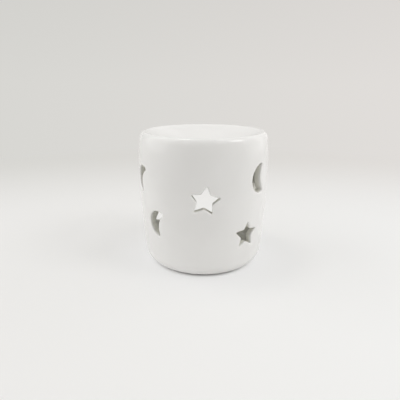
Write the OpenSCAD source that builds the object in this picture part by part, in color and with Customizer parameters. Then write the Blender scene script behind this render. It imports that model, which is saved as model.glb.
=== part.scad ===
// Tealight holder: a one-piece glazed ceramic barrel with star and crescent cut-outs, a shallow
// dish on top and an arched opening at the back through which a tealight slides in.
// Millimetres, +Z up, the body's axis on Z, the table at Z = 0, the front facing -Y.

/* [Body] */
// Widest outside diameter of the ceramic body
body_diameter = 80; // [76:1:90]
// Height from the table to the top of the rim
body_height = 82; // [78:1:92]
// Thickness of the fired wall and floor
wall = 4.5; // [3.5:0.25:5.5]
// Distance of the widest level below the top of the rim
shoulder_height = 18; // [14:1:22]
// Radius of the gentle barrel curve of the wall
barrel_radius = 620; // [420:20:900]
// Radius of the curve that closes in over the shoulder
shoulder_radius = 95; // [70:5:130]
// Radius of the rounded crest of the rim
rim_radius = 2; // [1.5:0.1:2.5]
// Radius of the rounded bottom edge
base_edge_radius = 9.5; // [7:0.5:12]
// Width of the flat ring that the body stands on
foot_ring_width = 4; // [3:0.5:6]
// Depth of the hollow inside the standing ring
foot_recess = 0.8; // [0.4:0.1:1.2]

/* [Dish] */
// Depth of the dish below the top of the rim
dish_depth = 10; // [7:0.5:13]
// Thickness of the dish
dish_thickness = 4.5; // [3.5:0.25:5.5]

/* [Stars] */
// Distance from the middle of a star to the ends of its tips
star_reach = 8.5; // [6.5:0.1:9]
// Distance of the inner corners from the middle, as a share of the reach
star_waist = 0.52; // [0.42:0.01:0.56]
// Radius of the rounded tips
star_tip_radius = 0.8; // [0.4:0.1:1.2]
// Front star: angle to the right of the front
front_star_angle = 1; // [-8:0.5:8]
// Front star: height of its middle
front_star_height = 48.4; // [44:0.2:54]
// Front star: clockwise turn
front_star_turn = 6; // [-30:1:30]
// Side star: angle to the right of the front
side_star_angle = 39.5; // [34:0.5:48]
// Side star: height of its middle
side_star_height = 25.6; // [20:0.2:30]
// Side star: clockwise turn
side_star_turn = 2; // [-30:1:30]
// Rear star: angle to the right of the front
rear_star_angle = -122; // [-124:0.5:-114]
// Rear star: height of its middle
rear_star_height = 21; // [19:0.2:30]
// Rear star: clockwise turn
rear_star_turn = 24; // [-30:1:30]

/* [Crescents] */
// Radius of the outer edge of a crescent
crescent_radius = 8.2; // [7:0.1:9]
// Radius of the hollow edge of a crescent
crescent_bite_radius = 11; // [9.2:0.1:13]
// Thickness of a crescent at its middle
crescent_thickness = 7.6; // [6:0.1:9]
// Right crescent: angle to the right of the front
right_crescent_angle = 54.5; // [48:0.5:64]
// Right crescent: height of its middle
right_crescent_height = 58; // [54:0.2:60]
// Right crescent: clockwise turn
right_crescent_turn = 0; // [-30:1:30]
// Left crescent: angle to the right of the front
left_crescent_angle = -62.5; // [-70:0.5:-56]
// Left crescent: height of its middle
left_crescent_height = 56.2; // [54:0.2:60]
// Left crescent: clockwise turn
left_crescent_turn = 22; // [-30:1:30]
// Low crescent: angle to the right of the front
low_crescent_angle = -40; // [-46:0.5:-34]
// Low crescent: height of its middle
low_crescent_height = 32.4; // [24:0.2:34]
// Low crescent: clockwise turn
low_crescent_turn = 20; // [-30:1:30]
// Flank crescent: angle to the right of the front
flank_crescent_angle = 108; // [98:0.5:114]
// Flank crescent: height of its middle
flank_crescent_height = 38; // [30:0.5:50]
// Flank crescent: clockwise turn
flank_crescent_turn = 12; // [-30:1:30]

/* [Tealight] */
// Diameter of the tealight over its rolled rim
tealight_diameter = 38; // [36:0.5:39]
// Height of the tealight cup
tealight_height = 16; // [12:0.5:20]
// Thickness of the cup's sheet metal
cup_wall = 0.5; // [0.3:0.1:0.6]
// Radius of the rolled bead round the cup's rim
cup_bead_radius = 0.6; // [0.5:0.05:0.8]
// Radius of the cup's bottom edge
cup_edge_radius = 1.5; // [1:0.1:2]
// Distance of the wax below the cup's rim
wax_headspace = 2.5; // [2:0.5:4]
// Diameter of the wick
wick_diameter = 1.8; // [1.4:0.1:2.2]
// Length of the wick that stands out of the wax
wick_free_length = 7; // [4:0.5:9]
// Diameter of the wick tab's plate
tab_diameter = 14; // [10:0.5:18]
// Thickness of the wick tab's sheet metal
tab_thickness = 0.4; // [0.3:0.05:0.6]
// Height of the tab's neck round the wick
tab_neck_height = 4; // [3:0.5:5]

/* [Rear opening] */
// Room on each side of the tealight as it slides in
opening_clearance = 2; // [1:0.25:3]
// Height of the arched opening above the inside floor
opening_height = 38; // [34:1:42]

/* [Hidden] */

// Facets of the turned body, of the wide wall curves, of the dish and of the small curves
body_fn = 96;
wall_curve_fn = 480;
dish_curve_fn = 128;
edge_curve_fn = 40;

// Flattening of the dish's curve at its middle
dish_flattening = 0.06;

// Growth of the rounded corners, so that they cross the curves beside them
corner_blend = 0.02;

// Wall curves: their centres lie on the widest level
body_radius = body_diameter / 2;
widest_level = body_height - shoulder_height;
barrel_centre = [body_radius - barrel_radius, widest_level];
shoulder_centre = [body_radius - shoulder_radius, widest_level];

// Bottom edge: touches the table and runs into the barrel curve
base_drop = widest_level - base_edge_radius;
base_run = sqrt(pow(barrel_radius - base_edge_radius, 2) - pow(base_drop, 2));
base_centre = [barrel_centre[0] + base_run, base_edge_radius];
base_end_angle = atan2(-base_drop, base_run);

// Rim crest: runs into the shoulder curve outside and the dish inside
crest_level = body_height - rim_radius;
crest_rise = crest_level - widest_level;
crest_run = sqrt(pow(shoulder_radius - rim_radius, 2) - pow(crest_rise, 2));
crest_centre = [shoulder_centre[0] + crest_run, crest_level];
dish_floor_level = body_height - dish_depth;
dish_curve_depth = dish_depth + dish_flattening;
crest_fall = dish_curve_depth - rim_radius;
crest_reach = pow(crest_fall, 2) + pow(crest_centre[0], 2) - pow(rim_radius, 2);
dish_radius = crest_reach / (2 * dish_curve_depth);
dish_centre = [0, body_height - dish_curve_depth + dish_radius];
crest_start_angle = atan2(crest_rise, crest_run);
crest_end_angle = atan2(dish_centre[1] - crest_level, -crest_centre[0]);

// Inside of the body
floor_level = wall;
foot_inner_radius = base_centre[0] - foot_ring_width;
cut_start = body_radius - 2 * wall - 2;

// Rear opening, as wide as the tealight with its clearance
opening_width = tealight_diameter + 2 * opening_clearance;
opening_spring = opening_height - opening_width / 2;

// Crescent hollow
bite_shift = crescent_thickness - crescent_radius + crescent_bite_radius;

// Star tips
tip_centre = star_reach - star_tip_radius;
waist_reach = star_reach * star_waist;

// Tealight
bead_centre = tealight_diameter / 2 - cup_bead_radius;
cup_outer_radius = bead_centre + cup_wall / 2;
cup_inner_radius = bead_centre - cup_wall / 2;
cup_inner_edge = cup_edge_radius - cup_wall;
wax_bottom = floor_level + cup_wall;
wax_top = floor_level + tealight_height - wax_headspace;
wick_radius = wick_diameter / 2;
neck_radius = wick_radius + tab_thickness;
neck_top = wax_bottom + tab_thickness + tab_neck_height;
wick_bottom = wax_bottom + tab_thickness;

// Point at a distance and angle from a centre
function polar(c, r, a) = c + r * [cos(a), sin(a)];

// Point where a line from p touches a circle round c
function touch(p, c, r, side) =
    let (d = c - p, a = atan2(d[1], d[0]) + side * asin(r / norm(d)))
    polar(p, sqrt(d * d - r * r), a);

// What is taken off a corner to round it: the wedge between two directions, outside a circle
module corner_cut(c, r, a1, a2) {
    reach = body_diameter;
    difference() {
        polygon([c, polar(c, reach, a1), polar(c, 2 * reach, (a1 + a2) / 2), polar(c, reach, a2)]);
        translate(c) circle(r = r + corner_blend, $fn = edge_curve_fn);
    }
}

// Half section inside the barrel and shoulder curves, set in from the outside of the body
module wall_section(inset) {
    difference() {
        union() {
            intersection() {
                translate([0, inset]) square([body_radius, widest_level - inset]);
                translate(barrel_centre) circle(r = barrel_radius - inset, $fn = wall_curve_fn);
            }
            intersection() {
                translate([0, widest_level]) square([body_radius, shoulder_height]);
                translate(shoulder_centre) circle(r = shoulder_radius - inset, $fn = wall_curve_fn);
            }
        }
        corner_cut(base_centre, base_edge_radius - inset, -90, base_end_angle);
    }
}

// Half section of the dish's hollow, grown by a thickness and flat at its middle
module dish_disc(thickness) {
    intersection() {
        translate(dish_centre) circle(r = dish_radius + thickness, $fn = dish_curve_fn);
        translate([0, dish_floor_level - thickness]) square(body_diameter);
    }
}

// Half section of the casting
module body_section() {
    difference() {
        wall_section(0);
        corner_cut(crest_centre, rim_radius, crest_start_angle, crest_end_angle);
        dish_disc(0);
        difference() {
            wall_section(wall);
            dish_disc(dish_thickness);
        }
        square([foot_inner_radius, foot_recess]);
    }
}

// Five-pointed star with rounded tips
module star() {
    tips = [for (i = [0:4]) polar([0, 0], tip_centre, 90 - 72 * i)];
    waists = [for (i = [0:5]) polar([0, 0], waist_reach, 126 - 72 * i)];
    polygon([for (i = [0:4]) each [
        waists[i],
        touch(waists[i], tips[i], star_tip_radius, 1),
        touch(waists[i + 1], tips[i], star_tip_radius, -1)
    ]]);
    for (tip = tips) {
        translate(tip) circle(r = star_tip_radius, $fn = edge_curve_fn);
    }
}

// Crescent with its horns to the right
module crescent() {
    difference() {
        circle(r = crescent_radius, $fn = edge_curve_fn);
        translate([bite_shift, 0]) circle(r = crescent_bite_radius, $fn = edge_curve_fn);
    }
}

// Straight-sided opening with a round top, standing on the inside floor
module arch() {
    translate([-opening_width / 2, floor_level])
        square([opening_width, opening_spring]);
    translate([0, floor_level + opening_spring])
        intersection() {
            circle(d = opening_width, $fn = 2 * edge_curve_fn);
            translate([-opening_width / 2, 0]) square([opening_width, opening_width]);
        }
}

// Drives a flat shape through the wall at an angle round the body, upright as seen from outside
module through_wall(angle, height, turn, start = cut_start) {
    rotate([0, 0, angle])
        translate([0, -start, height])
            rotate([90, 0, 0])
                linear_extrude(height = body_radius + 2 - start)
                    rotate(-turn) children();
}

// Glazed casting with its cut-outs and the opening at the back
module ceramic_body() {
    color([0.93, 0.93, 0.92])
        difference() {
            rotate_extrude($fn = body_fn) body_section();
            through_wall(front_star_angle, front_star_height, front_star_turn) star();
            through_wall(side_star_angle, side_star_height, side_star_turn) star();
            through_wall(rear_star_angle, rear_star_height, rear_star_turn) star();
            through_wall(right_crescent_angle, right_crescent_height, right_crescent_turn) crescent();
            through_wall(left_crescent_angle, left_crescent_height, left_crescent_turn) crescent();
            through_wall(low_crescent_angle, low_crescent_height, low_crescent_turn) crescent();
            through_wall(flank_crescent_angle, flank_crescent_height, flank_crescent_turn) crescent();
            through_wall(180, 0, 0, 0) arch();
        }
}

// Half section of the cup's outside or inside, up to the bead
module cup_section(radius, bottom, edge) {
    edge_centre = [radius - edge, bottom + edge];
    difference() {
        translate([0, bottom]) square([radius, floor_level + tealight_height - bottom]);
        corner_cut(edge_centre, edge, -90, 0);
    }
}

// Pressed metal cup with a rolled bead
module tealight_cup() {
    color([0.80, 0.81, 0.82])
        rotate_extrude($fn = body_fn) {
            difference() {
                cup_section(cup_outer_radius, floor_level, cup_edge_radius);
                translate([0, floor_level + tealight_height - cup_bead_radius]) square(body_radius);
                cup_section(cup_inner_radius, wax_bottom, cup_inner_edge);
            }
            translate([bead_centre, floor_level + tealight_height - cup_bead_radius])
                circle(r = cup_bead_radius, $fn = edge_curve_fn);
        }
}

// Half section of the wick tab without its hole
module tab_section() {
    translate([0, wax_bottom]) square([tab_diameter / 2, tab_thickness]);
    translate([0, wax_bottom]) square([neck_radius, neck_top - wax_bottom]);
}

// Wax fill, cast round the tab and the wick
module tealight_wax() {
    color([0.96, 0.95, 0.91])
        rotate_extrude($fn = body_fn)
            difference() {
                cup_section(cup_inner_radius, wax_bottom, cup_inner_edge);
                translate([0, wax_top]) square(body_radius);
                tab_section();
                square([wick_radius, body_height]);
            }
}

// Pressed plate with a neck that holds the wick upright
module wick_tab() {
    color([0.62, 0.63, 0.65])
        rotate_extrude($fn = body_fn / 2)
            difference() {
                tab_section();
                translate([0, wick_bottom]) square([wick_radius, tab_neck_height]);
            }
}

// Cotton wick, standing on the tab
module wick() {
    color([0.90, 0.88, 0.82])
        translate([0, 0, wick_bottom])
            cylinder(r = wick_radius, h = wax_top + wick_free_length - wick_bottom, $fn = edge_curve_fn);
}

ceramic_body();
tealight_cup();
tealight_wax();
wick_tab();
wick();
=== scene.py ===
"""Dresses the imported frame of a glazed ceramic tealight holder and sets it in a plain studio.

The holder is one slip-cast shell: a barrel with star and crescent cut-outs, a dish cast into its
top and an arch at the back, through which a tealight slides in. Sizes in the classes are
millimetres. The meshes are metres in the frame of the CAD model: +Z up, with the photographed front
towards -Y.
"""

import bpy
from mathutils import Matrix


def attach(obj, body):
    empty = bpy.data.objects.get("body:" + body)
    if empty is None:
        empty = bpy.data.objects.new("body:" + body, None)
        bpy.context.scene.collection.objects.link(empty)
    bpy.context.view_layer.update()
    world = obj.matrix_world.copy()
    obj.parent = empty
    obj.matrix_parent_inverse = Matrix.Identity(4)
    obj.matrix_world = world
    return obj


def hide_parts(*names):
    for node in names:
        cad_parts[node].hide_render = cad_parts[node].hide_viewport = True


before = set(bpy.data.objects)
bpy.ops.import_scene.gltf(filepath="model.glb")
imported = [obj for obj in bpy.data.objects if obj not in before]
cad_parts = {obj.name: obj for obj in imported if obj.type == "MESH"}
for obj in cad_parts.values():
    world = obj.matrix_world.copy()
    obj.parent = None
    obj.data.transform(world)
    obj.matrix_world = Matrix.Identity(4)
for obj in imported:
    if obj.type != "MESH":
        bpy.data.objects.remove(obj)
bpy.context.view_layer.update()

import logging
import math
from dataclasses import dataclass, field
from enum import Enum

import bpy
import numpy as np
from mathutils import Vector

LOG = logging.getLogger("tealight_holder")
MM = 0.001
Socket = bpy.types.NodeSocket
Colour = tuple[float, float, float]
Place = tuple[float, float, float]
Given = Socket | float | tuple[float, ...]


class Body(Enum):
    """The bodies of the frame that a piece can ride on."""

    HOLDER = "holder"
    TEALIGHT = "tealight"


class Slot(Enum):
    """Names of material slots for the new pieces, which the tealight's list carries but nothing
    reads.
    """

    GLAZE = "glaze"
    CUP_METAL = "cup_metal"
    WAX = "wax"
    WICK_COTTON = "wick_cotton"


class CutShape(Enum):
    """The shapes punched through the wall."""

    STAR = "star"
    CRESCENT = "crescent"


# ---------------------------------------- meshes


class Quilt:
    """Grids of points sewn into one mesh, in which points that meet become one vertex."""

    JOIN = 1e-4

    def __init__(self, traits: tuple[str, ...] = ()) -> None:
        """Starts an empty quilt.

        Args:
            traits: names of the values that each point carries into the mesh as attributes.
        """
        self.names = traits
        self.points: list[np.ndarray] = []
        self.values: list[np.ndarray] = []
        self.quads: list[np.ndarray] = []
        self.size = 0

    def add(self, grid: np.ndarray, values: np.ndarray | None = None,
            keep: np.ndarray | None = None, inward: bool = False) -> None:
        """Adds a grid that closes on itself round its columns.

        Each quad joins a point, the next one round, and the two above them, so a grid that climbs
        while its columns run anticlockwise seen from above faces outwards.

        Args:
            grid: rows x columns x 3 points, in millimetres.
            values: rows x columns x one number for each trait; zero where it is left out.
            keep: rows - 1 x columns, true for the quads that are made; all where it is left out.
            inward: turns the faces to the other side.
        """
        rows, columns = grid.shape[:2]
        here = self.size + np.arange(rows * columns).reshape(rows, columns)
        after = np.roll(here, -1, axis=1)
        quads = np.stack([here[:-1], after[:-1], after[1:], here[1:]], axis=-1)
        quads = quads.reshape(-1, 4) if keep is None else quads[keep]
        self.quads.append(quads[:, ::-1] if inward else quads)
        if values is None:
            values = np.zeros((rows, columns, len(self.names)))
        self.points.append(grid.reshape(-1, 3))
        self.values.append(values.reshape(rows * columns, len(self.names)))
        self.size += rows * columns

    def sew(self, name: str) -> bpy.types.Object:
        """Joins the grids into one object.

        Points closer than JOIN become one vertex, and a quad with an edge that has closed to a
        point, as at a pole, becomes a triangle.

        Args:
            name: the object's name.

        Returns:
            The object, at the origin, with smooth faces.
        """
        points = np.concatenate(self.points)
        values = np.concatenate(self.values)
        keys = np.round(points / self.JOIN).astype(np.int64)
        _, first, place = np.unique(keys, axis=0, return_index=True, return_inverse=True)
        quads = place.reshape(-1)[np.concatenate(self.quads)]
        shut = quads == np.roll(quads, -1, axis=1)
        whole = quads[~shut.any(axis=1)]
        pinched = shut.sum(axis=1) == 1
        start = shut[pinched].argmax(axis=1)[:, None]
        corners = np.take_along_axis(quads[pinched], (start + np.arange(1, 4)) % 4, axis=1)
        ends = np.concatenate([whole.ravel(), corners.ravel()])
        used, order = np.unique(ends, return_inverse=True)
        order = order.reshape(-1)
        faces = order[:whole.size].reshape(-1, 4).tolist()
        faces += order[whole.size:].reshape(-1, 3).tolist()
        mesh = bpy.data.meshes.new(name)
        mesh.from_pydata((points[first[used]] * MM).tolist(), [], faces)
        mesh.polygons.foreach_set("use_smooth", np.ones(len(faces), dtype=bool))
        for column, trait in enumerate(self.names):
            layer = mesh.attributes.new(trait, "FLOAT", "POINT")
            layer.data.foreach_set("value", values[first[used], column].astype(np.float32))
        mesh.update()
        piece = bpy.data.objects.new(name, mesh)
        bpy.context.scene.collection.objects.link(piece)
        return piece


def metres(values: tuple[float, ...]) -> tuple[float, ...]:
    """Millimetres as metres."""
    return tuple(value * MM for value in values)


def paired(first: np.ndarray | float, second: np.ndarray | float) -> np.ndarray:
    """Puts two rows of numbers side by side, with a single number repeated."""
    return np.stack(np.broadcast_arrays(first, second), axis=-1)


def turned(profile: np.ndarray, columns: int) -> np.ndarray:
    """Carries a profile round the upright axis.

    The point of row i and column j stands at the profile's radius i, turned by j steps from the
    front towards the right: x = r sin a, y = -r cos a, z = z.

    Args:
        profile: rows x 2, radius and height.
        columns: the number of steps in a full turn.

    Returns:
        rows x columns x 3 points.
    """
    angle = np.arange(columns) * (2.0 * math.pi / columns)
    radius, height = profile[:, :1], profile[:, 1:]
    return np.stack([radius * np.sin(angle), -radius * np.cos(angle),
                     np.broadcast_to(height, (len(profile), columns))], axis=-1)


def arc(centre: tuple[float, float], radius: float, start: float, end: float,
        steps: int) -> np.ndarray:
    """Points of a circle between two angles in degrees, both ends included.

    Args:
        centre: radius and height of the circle's centre.
        radius: the circle's radius.
        start: first angle, from straight outwards towards up.
        end: last angle.
        steps: the number of spaces between the points.

    Returns:
        steps + 1 x 2 points.
    """
    angle = np.radians(np.linspace(start, end, steps + 1))
    return paired(centre[0] + radius * np.cos(angle), centre[1] + radius * np.sin(angle))


def softened(outline: np.ndarray, spread: float) -> np.ndarray:
    """Rounds the corners of a closed outline by a running mean weighted with a bell curve.

    Args:
        outline: count x 2 points, evenly spaced.
        spread: the bell's standard deviation, in points.

    Returns:
        count x 2 points, in the same order.
    """
    wave = np.fft.fftfreq(len(outline)) * 2.0 * math.pi * spread
    smooth = np.fft.ifft(np.fft.fft(outline[:, 0] + 1j * outline[:, 1]) * np.exp(-0.5 * wave ** 2))
    return paired(smooth.real, smooth.imag)


def outward_normals(outline: np.ndarray) -> np.ndarray:
    """Unit normals of a closed outline: the line between a point's neighbours, turned outwards.

    Args:
        outline: count x 2 points, anticlockwise.

    Returns:
        count x 2 normals.
    """
    along = np.roll(outline, -1, axis=0) - np.roll(outline, 1, axis=0)
    normal = paired(along[:, 1], -along[:, 0])
    return normal / np.linalg.norm(normal, axis=1, keepdims=True)


# ---------------------------------------- finishes


class Palette:
    """The node groups that more than one finish uses, each made once."""

    made: dict[str, bpy.types.NodeTree] = {}

    @classmethod
    def _start(cls, name: str, inputs: tuple[str, ...],
               outputs: tuple[str, ...]) -> tuple["Desk", bpy.types.Node, bpy.types.Node]:
        """Makes an empty group that reads a vector and plain values.

        Args:
            name: the group's name.
            inputs: names of the plain inputs, which come after Vector.
            outputs: names of the outputs.

        Returns:
            The group's desk, and its input and output nodes.
        """
        group = cls.made[name] = bpy.data.node_groups.new(name, "ShaderNodeTree")
        group.interface.new_socket("Vector", in_out="INPUT", socket_type="NodeSocketVector")
        for way, titles in (("INPUT", inputs), ("OUTPUT", outputs)):
            for title in titles:
                group.interface.new_socket(title, in_out=way, socket_type="NodeSocketFloat")
        desk = Desk(group)
        return desk, desk.node("NodeGroupInput"), desk.node("NodeGroupOutput")

    @classmethod
    def variation(cls) -> bpy.types.NodeTree:
        """Uneven tone in two sizes.

        Returns:
            A group with Vector, Broad Scale and Fine Scale, which puts out Broad and Fine, both
            about 0.5, and Height, mostly Broad with a little Fine.
        """
        if "uneven_tone" not in cls.made:
            desk, given, result = cls._start("uneven_tone", ("Broad Scale", "Fine Scale"),
                                             ("Broad", "Fine", "Height"))
            tones = []
            for size, detail, roughness in (("Broad", 2.0, 0.45), ("Fine", 4.0, 0.6)):
                noise = desk.node("ShaderNodeTexNoise", Detail=detail, Roughness=roughness)
                desk.link(given.outputs["Vector"], noise.inputs["Vector"])
                desk.link(given.outputs[f"{size} Scale"], noise.inputs["Scale"])
                desk.link(noise.outputs["Fac"], result.inputs[size])
                tones.append(noise.outputs["Fac"])
            desk.link(desk.mix_value(0.2, *tones), result.inputs["Height"])
        return cls.made["uneven_tone"]

    @classmethod
    def specks(cls) -> bpy.types.NodeTree:
        """Scattered round dots, of which only some cells have one.

        Returns:
            A group with Vector, Scale, Size and Share, which puts out Mask: 1 in a dot and 0
            outside.
        """
        if "scattered_specks" not in cls.made:
            desk, given, result = cls._start("scattered_specks", ("Scale", "Size", "Share"),
                                             ("Mask",))
            cells = desk.node("ShaderNodeTexVoronoi")
            for name in ("Vector", "Scale"):
                desk.link(given.outputs[name], cells.inputs[name])
            apart = desk.node("ShaderNodeSeparateColor")
            desk.link(cells.outputs["Color"], apart.inputs["Color"])
            dot = desk.math("LESS_THAN", cells.outputs["Distance"], given.outputs["Size"])
            chosen = desk.math("LESS_THAN", apart.outputs["Red"], given.outputs["Share"])
            desk.link(desk.math("MULTIPLY", dot, chosen), result.inputs["Mask"])
        return cls.made["scattered_specks"]


class Desk:
    """A node tree being put together."""

    def __init__(self, tree: bpy.types.NodeTree) -> None:
        """Takes the tree that the nodes go into."""
        self.tree = tree

    def node(self, kind: str, **values: float | tuple[float, ...]) -> bpy.types.Node:
        """Adds a node.

        Args:
            kind: Blender's name of the node's type.
            values: plain values for its inputs, by input name with _ for a space.

        Returns:
            The node.
        """
        made = self.tree.nodes.new(kind)
        for name, value in values.items():
            made.inputs[name.replace("_", " ")].default_value = value
        return made

    def link(self, start: Socket, end: Socket) -> None:
        """Joins an output to an input."""
        self.tree.links.new(start, end)

    def feed(self, made: bpy.types.Node, values: dict[int, Given]) -> None:
        """Links or sets inputs of a node.

        Args:
            made: the node.
            values: a socket, a number or a tuple for each input, by the input's number.
        """
        for place, value in values.items():
            if isinstance(value, Socket):
                self.link(value, made.inputs[place])
            else:
                made.inputs[place].default_value = value

    def math(self, operation: str, first: Socket, second: Socket | float) -> Socket:
        """The result of a Math node.

        Args:
            operation: the node's operation.
            first: the first value.
            second: the second value, linked or plain.

        Returns:
            The node's output.
        """
        made = self.node("ShaderNodeMath")
        made.operation = operation
        self.feed(made, {0: first, 1: second})
        return made.outputs[0]

    def vector(self, operation: str, first: Socket, second: Place = (0.0, 0.0, 0.0)) -> Socket:
        """The result of a Vector Math node.

        Args:
            operation: the node's operation.
            first: the first vector.
            second: the second vector, where the operation takes one.

        Returns:
            The node's value for a length, otherwise its vector.
        """
        made = self.node("ShaderNodeVectorMath")
        made.operation = operation
        self.feed(made, {0: first, 1: second})
        return made.outputs["Value" if operation == "LENGTH" else "Vector"]

    def split(self, vector: Socket) -> bpy.types.bpy_prop_collection:
        """Takes a vector apart.

        Args:
            vector: the vector.

        Returns:
            Its parts, by X, Y and Z.
        """
        made = self.node("ShaderNodeSeparateXYZ")
        self.link(vector, made.inputs["Vector"])
        return made.outputs

    def trait(self, name: str) -> Socket:
        """Reads a value that the mesh carries.

        Args:
            name: the name it is carried under.

        Returns:
            The value.
        """
        made = self.node("ShaderNodeAttribute")
        made.attribute_name = name
        return made.outputs["Fac"]

    def seen(self) -> Socket:
        """Tells sight lines from rays of light.

        Returns:
            1 for what the camera sees, directly, mirrored or through something clear, otherwise 0.
        """
        path = self.node("ShaderNodeLightPath")
        seen = self.math("MAXIMUM", path.outputs["Is Camera Ray"], path.outputs["Is Glossy Ray"])
        return self.math("MAXIMUM", seen, path.outputs["Is Transmission Ray"])

    def spread(self, value: Socket, low: float, high: float, start: float = 0.3, end: float = 0.7,
               smooth: bool = False) -> Socket:
        """Stretches the part of a value between start and end to the range from low to high.

        Args:
            value: the value to stretch.
            low: the result at start and before it.
            high: the result at end and beyond it.
            start: where the range begins.
            end: where the range ends.
            smooth: eases in and out.

        Returns:
            The stretched value.
        """
        made = self.node("ShaderNodeMapRange", From_Min=start, From_Max=end, To_Min=low,
                         To_Max=high)
        made.interpolation_type = "SMOOTHSTEP" if smooth else "LINEAR"
        self.link(value, made.inputs["Value"])
        return made.outputs["Result"]

    def mix_value(self, share: Given, first: Given, second: Given) -> Socket:
        """Blends two values.

        Args:
            share: the part that the second one has, from 0 to 1.
            first: the value where share is 0.
            second: the value where share is 1.

        Returns:
            The blended value.
        """
        made = self.node("ShaderNodeMix")
        made.data_type = "FLOAT"
        self.feed(made, {0: share, 2: first, 3: second})
        return made.outputs[0]

    def mix_colour(self, share: Given, first: Given, second: Given) -> Socket:
        """Blends two colours.

        Args:
            share: the part that the second one has, from 0 to 1.
            first: the colour where share is 0, linked or as red, green, blue.
            second: the colour where share is 1.

        Returns:
            The blended colour.
        """
        made = self.node("ShaderNodeMix")
        made.data_type = "RGBA"
        first, second = ((*tint, 1.0) if isinstance(tint, tuple) else tint
                         for tint in (first, second))
        self.feed(made, {0: share, 6: first, 7: second})
        return made.outputs[2]

    def mix_shader(self, share: Socket, first: Socket, second: Socket) -> Socket:
        """Blends two shaders.

        Args:
            share: the part that the second one has, from 0 to 1.
            first: the shader where share is 0.
            second: the shader where share is 1.

        Returns:
            The blended shader.
        """
        made = self.node("ShaderNodeMixShader")
        self.feed(made, {0: share, 1: first, 2: second})
        return made.outputs["Shader"]

    def group(self, tree: bpy.types.NodeTree, vector: Socket, **values: float) -> bpy.types.Node:
        """Places a shared group.

        Args:
            tree: the group's tree.
            vector: the coordinates that it reads.
            values: its other inputs, by name with _ for a space.

        Returns:
            The group's node.
        """
        made = self.tree.nodes.new("ShaderNodeGroup")
        made.node_tree = tree
        self.link(vector, made.inputs["Vector"])
        for name, value in values.items():
            made.inputs[name.replace("_", " ")].default_value = value
        return made


class Finish:
    """A material with a Principled shader: the start of each finish below.

    In the finishes, scales are the broad and the fine one of the uneven tone, a pair of roughness
    runs from the smoothest places to the dullest, and a relief or ripple is its strength and its
    depth in millimetres.
    """

    def begin(self, name: str) -> tuple[bpy.types.Material, Desk, bpy.types.Node, Socket]:
        """Makes a material with its shader, output and Object coordinates.

        Args:
            name: the material's name.

        Returns:
            The material, its desk, its Principled node and the coordinates.
        """
        material = bpy.data.materials.new(name)
        material.use_nodes = True
        material.node_tree.nodes.clear()
        desk = Desk(material.node_tree)
        shader = desk.node("ShaderNodeBsdfPrincipled")
        desk.link(shader.outputs["BSDF"], desk.node("ShaderNodeOutputMaterial").inputs["Surface"])
        return material, desk, shader, desk.node("ShaderNodeTexCoord").outputs["Object"]

    def uneven(self, desk: Desk, vector: Socket, scales: tuple[float, float]) -> bpy.types.Node:
        """Places the uneven tone with a broad and a fine scale."""
        return desk.group(Palette.variation(), vector, Broad_Scale=scales[0], Fine_Scale=scales[1])

    def paint(self, desk: Desk, shader: bpy.types.Node, colour: Socket, roughness: Socket) -> None:
        """Joins a colour and a roughness to the shader."""
        desk.link(colour, shader.inputs["Base Color"])
        desk.link(roughness, shader.inputs["Roughness"])

    def raise_surface(self, desk: Desk, shader: bpy.types.Node, height: Socket, strength: float,
                      depth: float) -> None:
        """Joins a height to the shader's normal.

        Args:
            desk: the material's desk.
            shader: its Principled node.
            height: the height, from 0 to 1.
            strength: how much of the bump shows.
            depth: what a height of 1 stands for, in millimetres.
        """
        bump = desk.node("ShaderNodeBump", Strength=strength, Distance=depth * MM)
        desk.link(height, bump.inputs["Height"])
        desk.link(bump.outputs["Normal"], shader.inputs["Normal"])


@dataclass(frozen=True)
class WhiteGlaze(Finish):
    """Glossy white glaze, deeper where it pools and duller where it runs thin, with a bare foot.

    Inside the shell it is painted lighter and yellower: painted light and painted warm shade.
    """

    full: Colour = (0.842, 0.838, 0.831)
    pooled: Colour = (0.819, 0.815, 0.806)
    thin: Colour = (0.847, 0.842, 0.831)
    # inside: painted light and painted warm shade, a lighter, yellower tone for the inner surfaces
    inside: Colour = (0.885, 0.88, 0.80)
    bare: Colour = (0.70, 0.665, 0.60)
    speck: Colour = (0.50, 0.46, 0.40)
    tone_scales: tuple[float, float] = (45.0, 620.0)
    speck_scale: float = 330.0
    speck_size: float = 0.06
    speck_share: float = 0.05
    speck_depth: float = 0.55
    bare_grain: float = 0.18
    bare_roughness: float = 0.82
    full_roughness: tuple[float, float] = (0.06, 0.12)
    thin_roughness: float = 0.15
    ripple: tuple[float, float] = (0.35, 0.16)
    refraction: float = 1.5

    def make(self) -> bpy.types.Material:
        """Builds the material.

        Returns:
            The material, which reads the traits thin, bare and inside of the shell.
        """
        material, desk, shader, place = self.begin("white_glaze")
        tone = self.uneven(desk, place, self.tone_scales)
        dots = desk.group(Palette.specks(), place, Scale=self.speck_scale, Size=self.speck_size,
                          Share=self.speck_share)
        thin, bare, inside = (desk.trait(name) for name in ("thin", "bare", "inside"))
        fleck = desk.math("MULTIPLY", dots.outputs["Mask"], self.speck_depth)
        pool = desk.spread(tone.outputs["Broad"], 0.0, 1.0)
        colour = desk.mix_colour(pool, self.full, self.pooled)
        # The inside trait lays the painted lighter, yellower tone on the inner surfaces and the
        # cut-outs' passages.
        for share, tint in ((inside, self.inside), (thin, self.thin), (fleck, self.speck)):
            colour = desk.mix_colour(share, colour, tint)
        grain = desk.spread(tone.outputs["Fine"], 0.0, self.bare_grain)
        earth = desk.mix_colour(grain, self.bare, self.speck)
        gloss = desk.spread(tone.outputs["Broad"], *self.full_roughness)
        gloss = desk.mix_value(thin, gloss, self.thin_roughness)
        self.paint(desk, shader, desk.mix_colour(bare, colour, earth),
                   desk.mix_value(bare, gloss, self.bare_roughness))
        self.raise_surface(desk, shader, tone.outputs["Height"], *self.ripple)
        shader.inputs["IOR"].default_value = self.refraction
        return material


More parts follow.
